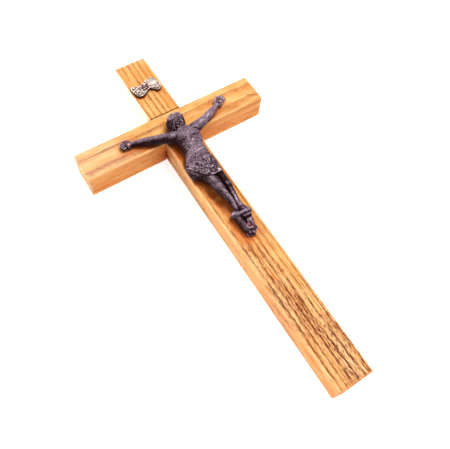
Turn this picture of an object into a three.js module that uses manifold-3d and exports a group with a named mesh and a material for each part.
// Wooden wall and altar cross with a cast metal figure, lying on its back.
// Millimetres, +X along the crossbeam, +Y towards the top end, +Z out of the front face.
// The origin is under the middle of the bounding box, on the flat back of the beams.
import * as THREE from 'three';
import { mergeVertices } from 'three/addons/utils/BufferGeometryUtils.js';
import Module from 'manifold-3d';

const wasm = await Module();
wasm.setup();

// ---- Driving dimensions ----------------------------------------------------
const GAP = 0.3;                   // play left between neighbouring pieces
const THICKNESS = 16.2;            // both beams, flush at front and back
const UPRIGHT = { width: 20, length: 221, above: 53.4 };   // above: crossing centre to top end
const CROSSBEAM = { height: 18.8, left: 57.4, right: 55.8 };
const ARRIS = 0.6;                 // eased edge of both beams

const NAIL = { headRadius: 2.05, headHeight: 0.9, shankRadius: 0.6, length: 12 };
const PIN = { headRadius: 0.85, headHeight: 0.45, shankRadius: 0.35, length: 6 };
const SCREW = { headRadius: 1.5, headHeight: 0.7, shankRadius: 0.75, length: 7 };
const SLOT = { width: 0.5, depth: 0.35 };

const SCROLL_THICKNESS = 1.4;
const RECESS = { width: 13, length: 27, depth: 4.2, middle: 31.5 };   // middle: above the crossing
const STRAP = { width: 6, thickness: 0.8, foot: 19.8, hinge: 30.2 };  // foot, hinge: above the crossing
const RING = { wireRadius: 0.7, halfWidth: 4.3, reach: 9.4, droop: 0.13 };  // droop: radians at rest

const FRONT = THICKNESS;           // height of the front face
const HINGE_HEIGHT = RECESS.depth - GAP - (RING.wireRadius + GAP + STRAP.thickness);

// ---- Materials --------------------------------------------------------------
const finish = (color, roughness, metalness) =>
  () => new THREE.MeshStandardMaterial({ color, roughness, metalness });
const oak = finish(0xd99a55, 0.45, 0.0);
const darkMetal = finish(0x584c55, 0.5, 0.85);
const silver = finish(0xb9b2b4, 0.35, 0.9);
const copper = finish(0x8c5048, 0.35, 0.9);
const brass = finish(0xb08d4a, 0.4, 0.9);
const steel = finish(0x8a8a90, 0.4, 0.9);

// ---- Solids -------------------------------------------------------------------
// A closed three.js geometry as a manifold solid.
function solid(geometry) {
  const bare = geometry.clone();
  bare.deleteAttribute('normal');
  bare.deleteAttribute('uv');
  const merged = mergeVertices(bare, 1e-4);
  const index = Array.from(merged.index.array);
  const triangles = [];
  for (let i = 0; i < index.length; i += 3) {
    const [a, b, c] = index.slice(i, i + 3);
    if (a !== b && b !== c && c !== a) triangles.push(a, b, c);
  }
  const mesh = new wasm.Mesh({
    numProp: 3,
    vertProperties: new Float32Array(merged.attributes.position.array),
    triVerts: new Uint32Array(triangles),
  });
  return new wasm.Manifold(mesh);
}

function geometryOf(body) {
  const mesh = body.getMesh();
  const geometry = new THREE.BufferGeometry();
  geometry.setAttribute('position', new THREE.BufferAttribute(new Float32Array(mesh.vertProperties), 3));
  geometry.setIndex(new THREE.BufferAttribute(new Uint32Array(mesh.triVerts), 1));
  geometry.computeVertexNormals();
  return geometry;
}

const union = (bodies) => bodies.reduce((sum, body) => sum.add(body));
const without = (body, cutters) => cutters.reduce((rest, cutter) => rest.subtract(cutter), body);

function box(low, high) {
  const size = high.map((value, axis) => value - low[axis]);
  const geometry = new THREE.BoxGeometry(...size);
  geometry.translate(...low.map((value, axis) => value + size[axis] / 2));
  return solid(geometry);
}

// A ball stretched to three half-sizes, turned about Z.
function blob([x, y, z], [rx, ry, rz], turn = 0, segments = 12) {
  const geometry = new THREE.SphereGeometry(1, segments, Math.round(segments * 0.6));
  geometry.rotateX(Math.PI / 2);
  geometry.scale(rx, ry, rz);
  geometry.rotateZ(turn);
  geometry.translate(x, y, z);
  return solid(geometry);
}

// A tapered limb with round ends, from a to b.
function limb(a, radiusA, b, radiusB, segments = 10) {
  const start = new THREE.Vector3(...a);
  const along = new THREE.Vector3(...b).sub(start);
  const length = along.length();
  const lean = Math.asin((radiusA - radiusB) / length);
  const profile = [];
  const steps = 3;
  for (let i = 0; i <= steps; i += 1) {
    const angle = -Math.PI / 2 + (i / steps) * (Math.PI / 2 + lean);
    profile.push(new THREE.Vector2(radiusA * Math.cos(angle), radiusA * Math.sin(angle)));
  }
  for (let i = 0; i <= steps; i += 1) {
    const angle = lean + (i / steps) * (Math.PI / 2 - lean);
    profile.push(new THREE.Vector2(radiusB * Math.cos(angle), length + radiusB * Math.sin(angle)));
  }
  profile[0].x = 0;
  profile[profile.length - 1].x = 0;
  const geometry = new THREE.LatheGeometry(profile, segments);
  const turn = new THREE.Quaternion().setFromUnitVectors(new THREE.Vector3(0, 1, 0), along.normalize());
  geometry.applyQuaternion(turn);
  geometry.translate(...a);
  return solid(geometry);
}

// An upright round hole through z = low to z = high.
function drill(x, y, radius, low, high) {
  const geometry = new THREE.CylinderGeometry(radius, radius, high - low, 16);
  geometry.rotateX(Math.PI / 2);
  geometry.translate(x, y, (low + high) / 2);
  return solid(geometry);
}

// ---- Beams -----------------------------------------------------------------
// A straight beam along +Y with eased arrises and ends, its back on z = 0.
function beam(width, length) {
  const halfWidth = width / 2 - ARRIS;
  const halfDepth = THICKNESS / 2 - ARRIS;
  const section = new THREE.Shape();
  section.moveTo(-halfWidth, -halfDepth + ARRIS);
  section.lineTo(-halfWidth + ARRIS, -halfDepth);
  section.lineTo(halfWidth - ARRIS, -halfDepth);
  section.lineTo(halfWidth, -halfDepth + ARRIS);
  section.lineTo(halfWidth, halfDepth - ARRIS);
  section.lineTo(halfWidth - ARRIS, halfDepth);
  section.lineTo(-halfWidth + ARRIS, halfDepth);
  section.lineTo(-halfWidth, halfDepth - ARRIS);
  section.closePath();
  const geometry = new THREE.ExtrudeGeometry(section, {
    depth: length - 2 * ARRIS,
    bevelThickness: ARRIS,
    bevelSize: ARRIS,
    bevelSegments: 1,
  });
  geometry.translate(0, 0, -(length - 2 * ARRIS) / 2);
  geometry.rotateX(Math.PI / 2);
  geometry.translate(0, 0, THICKNESS / 2);
  return geometry;
}

const nailPlaces = {
  left_hand_nail: { x: -29.2, y: -0.9, seat: FRONT + 3.0 },
  right_hand_nail: { x: 30.8, y: -0.4, seat: FRONT + 3.0 },
  foot_nail: { x: 0.6, y: -77.3, seat: FRONT + 4.9 },
};
const pinPlaces = {
  title_pin_left: { x: -3.2, y: 32.4 },
  title_pin_right: { x: 5.2, y: 28.9 },
};
const screwPlaces = { hanger_screw_lower: 22.2, hanger_screw_upper: 26.2 };

// The hole that a nail or pin leaves in the wood.
const pilot = ({ x, y }, shankRadius, bottom) => drill(x, y, shankRadius + GAP, bottom, FRONT + 1);

function uprightBeam() {
  const geometry = beam(UPRIGHT.width, UPRIGHT.length);
  geometry.translate(0, UPRIGHT.above - UPRIGHT.length / 2, 0);
  const halfLap = CROSSBEAM.height / 2 + GAP;
  const lap = box([-20, -halfLap, (THICKNESS - GAP) / 2], [20, halfLap, FRONT + 1]);
  const foot = nailPlaces.foot_nail;
  const holes = [pilot(foot, NAIL.shankRadius, foot.seat - NAIL.length - GAP)];
  for (const place of Object.values(pinPlaces)) {
    const under = FRONT + GAP + SCROLL_THICKNESS + GAP - PIN.length - GAP;
    holes.push(pilot(place, PIN.shankRadius, under));
  }
  for (const y of Object.values(screwPlaces)) {
    holes.push(drill(0, y, SCREW.shankRadius + GAP, 1, RECESS.depth + SCREW.length));
  }
  return without(solid(geometry), [lap, hangerRecess(), ...holes]);
}

// The routed pocket in the back of the top arm, with round ends.
function hangerRecess() {
  const radius = RECESS.width / 2;
  const halfStraight = RECESS.length / 2 - radius;
  const outline = new THREE.Shape();
  outline.absarc(0, halfStraight, radius, 0, Math.PI);
  outline.absarc(0, -halfStraight, radius, Math.PI, 2 * Math.PI);
  outline.closePath();
  const geometry = new THREE.ExtrudeGeometry(outline, {
    depth: RECESS.depth + 1,
    bevelEnabled: false,
    curveSegments: 12,
  });
  geometry.translate(0, RECESS.middle, -1);
  return solid(geometry);
}

function crossBeam() {
  const geometry = beam(CROSSBEAM.height, CROSSBEAM.left + CROSSBEAM.right);
  geometry.rotateZ(-Math.PI / 2);
  geometry.translate((CROSSBEAM.right - CROSSBEAM.left) / 2, 0, 0);
  const halfLap = UPRIGHT.width / 2 + GAP;
  const lap = box([-halfLap, -20, -1], [halfLap, 20, (THICKNESS + GAP) / 2]);
  const hands = [nailPlaces.left_hand_nail, nailPlaces.right_hand_nail];
  const holes = hands.map((place) => pilot(place, NAIL.shankRadius, place.seat - NAIL.length - GAP));
  return without(solid(geometry), [lap, ...holes]);
}

// ---- Figure -----------------------------------------------------------------
// Heights in this section are above the front face of the beams.
const at = (x, y, height) => [x, y, FRONT + height];

function arm(side) {
  const shoulder = at(1.1 + side * 6.3, -10.2, 3.9);
  const elbow = at(1.0 + side * 15.8, side < 0 ? -6.2 : -7.2, 3.1);
  const wrist = at(0.6 + side * 25.6, side < 0 ? -2.0 : -2.8, 2.3);
  const palm = at(0.8 + side * 29.6, side < 0 ? -1.0 : -0.2, 1.7);
  const tips = at(0.6 + side * 33.2, side < 0 ? -1.6 : 1.6, 1.7);
  const thumb = at(0.8 + side * 30.6, side < 0 ? 0.8 : 2.2, 1.9);
  return [
    limb(shoulder, 2.9, elbow, 2.2),
    limb(elbow, 2.3, wrist, 1.5),
    limb(wrist, 1.5, palm, 1.5),
    blob(palm, [3.1, 2.3, 1.35], side * 0.25),
    limb(palm, 1.5, tips, 1.0),
    limb(palm, 1.0, thumb, 0.7, 10),
  ];
}

function leg(hip, knee, ankle, ball, toes) {
  return [
    limb(hip, 3.4, knee, 2.5),
    limb(knee, 2.4, ankle, 1.7),
    limb(ankle, 2.3, ball, 1.9),
    limb(ball, 1.9, toes, 1.3),
  ];
}

function corpus() {
  const parts = [
    blob(at(1.1, -14.2, 3.8), [6.9, 7.0, 4.5]),          // ribcage
    limb(at(-3.2, -11.6, 4.4), 3.0, at(5.4, -11.6, 4.4), 3.0),  // shoulder girdle
    blob(at(1.0, -21.5, 3.4), [5.7, 9.0, 4.1]),          // belly
    blob(at(-0.6, -33.5, 3.8), [7.4, 7.8, 4.6]),         // loincloth over the hips
    blob(at(0.6, -39.0, 4.3), [5.6, 6.2, 4.5], 0.12),    // its lower folds
    blob(at(-7.4, -33.6, 2.8), [2.2, 4.4, 2.6], 0.1),    // its knot on the hip
    limb(at(1.0, -10.5, 4.6), 3.2, at(1.2, -5.5, 5.8), 2.8),   // neck
    blob(at(1.2, -3.0, 6.4), [4.5, 5.8, 4.5]),           // head
    blob(at(0.4, -1.6, 5.4), [5.6, 5.0, 4.6]),           // hair over the crown
    limb(at(-3.8, -2.5, 5.0), 2.0, at(-4.0, -8.8, 4.4), 1.4),  // hair on the shoulder
    limb(at(4.8, -2.0, 5.0), 1.7, at(5.6, -6.0, 4.6), 1.1),
    limb(at(1.9, -7.0, 8.2), 1.9, at(1.9, -9.0, 8.0), 1.1),    // beard
    ...arm(-1),
    ...arm(1),
    ...leg(at(-1.9, -37, 4.2), at(-1.1, -50.5, 5.6), at(-0.2, -67.5, 3.6),
      at(0.0, -74.5, 2.0), at(0.3, -81.0, 1.6)),
    ...leg(at(3.7, -37, 4.1), at(3.5, -50.5, 5.2), at(3.0, -67.5, 4.6),
      at(1.2, -75.5, 3.3), at(1.0, -79.8, 3.2)),
  ];
  const back = box([-60, -100, FRONT - 20], [60, 60, FRONT + GAP]);
  const nailCuts = Object.values(nailPlaces).flatMap(({ x, y, seat }) => [
    drill(x, y, NAIL.shankRadius + GAP, FRONT - 1, seat + 5),
    drill(x, y, NAIL.headRadius + GAP, seat - GAP, seat + 5),
  ]);
  return without(union(parts), [back, ...nailCuts]);
}

// ---- Title scroll ------------------------------------------------------------
// A short banner of thick sheet whose two ends hang down and curl.
function titleScroll() {
  const upperEdge = [
    [-9.0, 33.6], [-7.9, 35.2], [-6.0, 34.1], [-3.6, 33.5], [0.0, 34.9], [3.4, 36.0], [6.4, 35.4],
  ];
  const rightLobe = [[8.1, 31.6], [8.4, 28.2], [6.9, 26.0], [4.4, 25.6], [2.7, 27.5]];
  const leftLobe = [[1.2, 28.7], [-1.6, 27.2], [-4.4, 25.7], [-6.7, 25.9], [-8.4, 28.4]];
  const points = [...upperEdge, ...rightLobe, ...leftLobe].map(([x, y]) => new THREE.Vector3(x, y, 0));
  const edge = new THREE.CatmullRomCurve3(points, true, 'centripetal');
  const outline = new THREE.Shape(edge.getPoints(56).slice(0, 56).map(({ x, y }) => new THREE.Vector2(x, y)));
  const geometry = new THREE.ExtrudeGeometry(outline, { depth: SCROLL_THICKNESS, bevelEnabled: false });
  geometry.translate(0, 0, FRONT + GAP);
  const holes = Object.values(pinPlaces).map(({ x, y }) =>
    drill(x, y, PIN.shankRadius + GAP, FRONT - 1, FRONT + SCROLL_THICKNESS + 2));
  return without(solid(geometry), holes);
}

// ---- Nails, pins and screws ----------------------------------------------------
// A round-headed fastener along Z with the head's underside at z = 0, pointing down.
function nail({ headRadius, headHeight, shankRadius, length }, segments = 18) {
  const dome = 5;
  const tip = length - 3 * shankRadius;
  const profile = [new THREE.Vector2(0, -length), new THREE.Vector2(shankRadius, -tip)];
  profile.push(new THREE.Vector2(shankRadius, 0), new THREE.Vector2(headRadius, 0));
  for (let i = 0; i < dome; i += 1) {
    const angle = (i / dome) * (Math.PI / 2);
    const rise = headHeight * (0.25 + 0.75 * Math.sin(angle));
    profile.push(new THREE.Vector2(headRadius * Math.cos(angle), rise));
  }
  profile.push(new THREE.Vector2(0, headHeight));
  const geometry = new THREE.LatheGeometry(profile, segments);
  geometry.rotateX(Math.PI / 2);
  return solid(geometry);
}

function screw() {
  const { headRadius, headHeight } = SCREW;
  const low = [-headRadius, -SLOT.width / 2, headHeight - SLOT.depth];
  return nail(SCREW, 14).subtract(box(low, [headRadius, SLOT.width / 2, headHeight + 1]));
}

// ---- Hanger ---------------------------------------------------------------------
// A strap screwed to the floor of the recess; its end curls round the ring's bar.
function hangerPlate() {
  const floor = RECESS.depth - GAP;
  const { width, thickness, foot, hinge } = STRAP;
  const inner = RING.wireRadius + GAP;
  const outer = inner + thickness;
  const strip = box([-width / 2, foot, floor - thickness], [width / 2, hinge, floor]);
  const curl = new THREE.CylinderGeometry(outer, outer, width, 20);
  const eye = new THREE.CylinderGeometry(inner, inner, width + 2, 20);
  for (const round of [curl, eye]) {
    round.rotateZ(Math.PI / 2);
    round.translate(0, hinge, HINGE_HEIGHT);
  }
  const holes = Object.values(screwPlaces).map((y) => drill(0, y, SCREW.shankRadius + GAP, 0, floor + 1));
  return without(strip.add(solid(curl)), [solid(eye), ...holes]);
}

// A D-shaped wire ring whose straight bar lies on the X axis, its loop towards +Y.
function hangerRing() {
  const { wireRadius, halfWidth, reach } = RING;
  const wire = new THREE.Shape();
  wire.absarc(0, 0, wireRadius, 0, 2 * Math.PI);
  const bend = reach - halfWidth;
  const loop = [];
  for (let i = 0; i <= 12; i += 1) {
    const angle = Math.PI * (1 - i / 12);
    loop.push(new THREE.Vector3(halfWidth * Math.cos(angle), bend + halfWidth * Math.sin(angle), 0));
  }
  const start = new THREE.Vector3(-halfWidth, 0, 0);
  const end = new THREE.Vector3(halfWidth, 0, 0);
  const path = new THREE.CatmullRomCurve3([start, ...loop, end]);
  const bow = new THREE.ExtrudeGeometry(wire, { steps: 22, extrudePath: path, curveSegments: 5 });
  const bar = limb(start.toArray(), wireRadius, end.toArray(), wireRadius - 1e-3, 10);
  return solid(bow).add(bar);
}

// ---- Assembly ---------------------------------------------------------------------
function piece(name, body, material) {
  const mesh = new THREE.Mesh(geometryOf(body), material());
  mesh.name = name;
  return mesh;
}

const cross = new THREE.Group();
cross.position.set((CROSSBEAM.left - CROSSBEAM.right) / 2, UPRIGHT.length / 2 - UPRIGHT.above, 0);

cross.add(piece('upright_beam', uprightBeam(), oak));
cross.add(piece('cross_beam', crossBeam(), oak));
cross.add(piece('corpus', corpus(), darkMetal));
cross.add(piece('title_scroll', titleScroll(), silver));

for (const [name, { x, y, seat }] of Object.entries(nailPlaces)) {
  const mesh = piece(name, nail(NAIL), copper);
  mesh.position.set(x, y, seat);
  cross.add(mesh);
}
for (const [name, { x, y }] of Object.entries(pinPlaces)) {
  const mesh = piece(name, nail(PIN, 12), copper);
  mesh.position.set(x, y, FRONT + GAP + SCROLL_THICKNESS + GAP);
  cross.add(mesh);
}

cross.add(piece('hanger_plate', hangerPlate(), brass));
for (const [name, y] of Object.entries(screwPlaces)) {
  const mesh = piece(name, screw(), steel);
  mesh.rotation.x = Math.PI;
  mesh.position.set(0, y, RECESS.depth - GAP - STRAP.thickness - GAP);
  cross.add(mesh);
}

const swing = new THREE.Group();
swing.position.set(0, STRAP.hinge, HINGE_HEIGHT);
swing.rotation.x = -RING.droop;
swing.add(piece('hanger_ring', hangerRing(), brass));
cross.add(swing);

const altarCross = new THREE.Group();
altarCross.add(cross);

export default altarCross;
